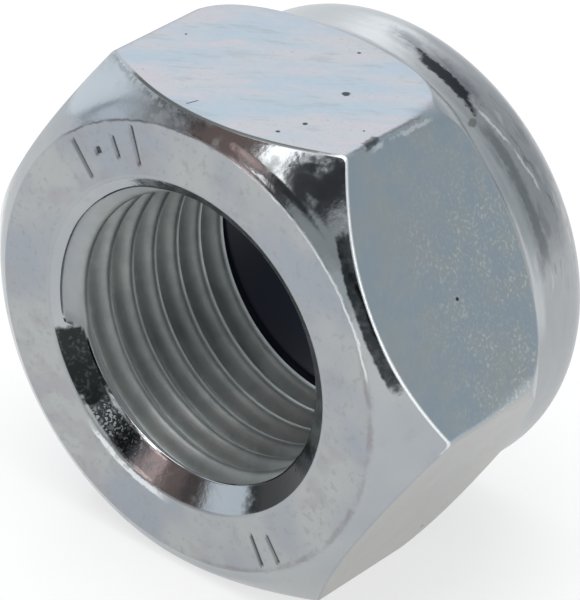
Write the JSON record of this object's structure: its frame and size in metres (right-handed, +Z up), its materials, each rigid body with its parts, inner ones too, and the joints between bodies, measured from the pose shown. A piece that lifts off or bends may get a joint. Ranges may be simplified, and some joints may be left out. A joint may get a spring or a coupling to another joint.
{
  "type": "lock nut",
  "caption": "Hexagon lock nut with a threaded bore, chamfered corners and a collar rolled over a plastic locking ring.",
  "frame": {"origin": "on the surface below the nut, at the middle of the flat that it lies on and halfway between bearing face and collar top", "axes": "+Y along the thread, from the bearing face towards the collar; +Z up, across two opposite flats; +X to the right, across two opposite corners"},
  "size_m": [0.0344, 0.02, 0.03],
  "materials": {
    "zinc": "cold-formed steel with a pale bluish zinc plating, satin on the flats and glossy on the chamfers",
    "nylon": "dark navy nylon with a soft sheen"
  },
  "bodies": {
    "root": {"nut_body": "zinc", "nylon_insert": "nylon"}
  },
  "joints": []
}
